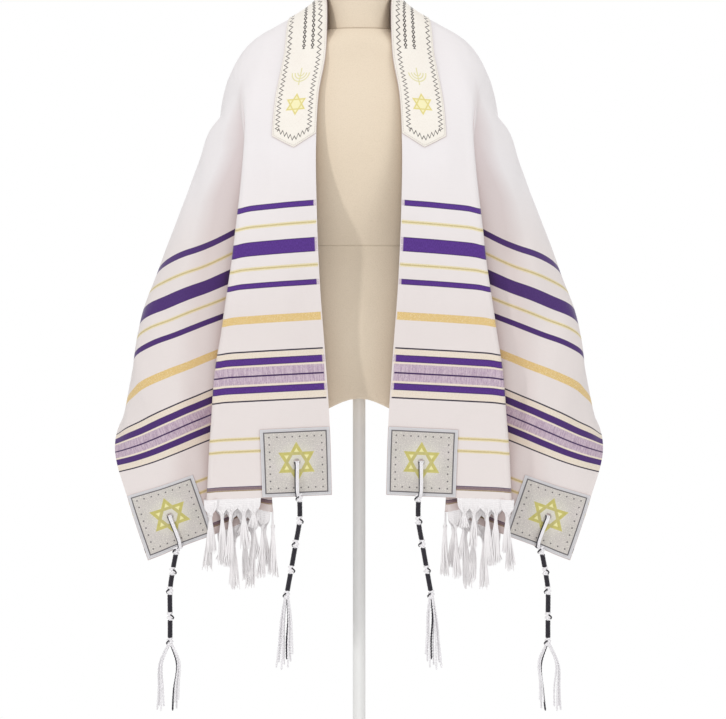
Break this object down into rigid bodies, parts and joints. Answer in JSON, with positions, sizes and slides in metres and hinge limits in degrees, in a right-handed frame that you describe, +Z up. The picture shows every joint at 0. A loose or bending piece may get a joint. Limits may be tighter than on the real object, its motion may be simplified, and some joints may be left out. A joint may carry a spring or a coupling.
{
  "type": "tallit prayer shawl worn on a limbless dress form with a stand",
  "caption": "White prayer shawl with coloured stripes, pointed neckband, corner patches, knotted tzitzit and fringe, draped over a limbless cloth-covered dress form on a pole and base.",
  "frame": {"origin": "centre of the bounding box at the floor, under the base plate", "axes": "+Z up, the front of the shawl facing -Y, +X to the right in the picture"},
  "size_m": [0.7664, 0.36, 1.5],
  "materials": {
    "cloth": "woven white wool with purple and gold stripes",
    "band": "cream woven band with a zigzag border",
    "patch": "grey-beige satin with a stitched border",
    "strings": "twisted white yarn with dark windings",
    "form": "stretched cream jersey over a hard shell",
    "stand": "satin white powder coat"
  },
  "bodies": {
    "root": {"shawl_cloth": "cloth", "neckband": "band", "patch_inner_left": "patch", "patch_inner_right": "patch", "patch_outer_left": "patch", "patch_outer_right": "patch", "tzitzit_inner_left": "strings", "tzitzit_inner_right": "strings", "tzitzit_outer_left": "strings", "tzitzit_outer_right": "strings", "fringe_left": "strings", "fringe_right": "strings", "form_torso": "form", "form_neck": "form", "stand_pole": "stand", "stand_base": "stand"}
  },
  "joints": []
}
